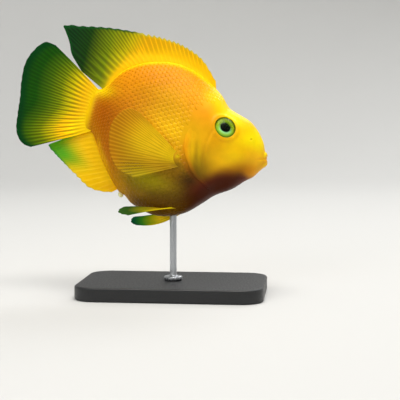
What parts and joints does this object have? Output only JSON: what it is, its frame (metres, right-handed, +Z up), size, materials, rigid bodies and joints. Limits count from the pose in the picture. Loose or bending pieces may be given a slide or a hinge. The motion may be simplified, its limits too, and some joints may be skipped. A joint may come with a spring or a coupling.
{
  "type": "blood parrot cichlid model on a display stand",
  "caption": "Still, life-size blood parrot cichlid, nose down as if swimming, with raised fin rays, on a plain flat base with a steel rod.",
  "frame": {"origin": "centre of the stand's underside", "axes": "+X to the snout, +Y to the fish's left, +Z up"},
  "size_m": [0.1635, 0.0783, 0.1753],
  "materials": {
    "skin": "satin, like wet scaled skin",
    "skin_dark": "satin, like wet scaled skin",
    "fin": "satin, ribbed by the rays",
    "fin_green": "satin, ribbed by the rays",
    "eye": "wet gloss",
    "stand_base": "satin black",
    "stand_rod": "brushed"
  },
  "bodies": {
    "root": {"head": "skin", "lower_jaw": "skin", "gill_cover_left": "skin", "gill_cover_right": "skin", "torso": "skin", "tail_stem": "skin_dark", "eye_left": "eye", "eye_right": "eye", "dorsal_fin": "fin", "anal_fin": "fin", "tail_fin": "fin_green", "breast_fin_left": "fin", "breast_fin_right": "fin", "belly_fin_left": "fin_green", "belly_fin_right": "fin_green", "stand_base": "stand_base", "stand_rod": "stand_rod"}
  },
  "joints": []
}
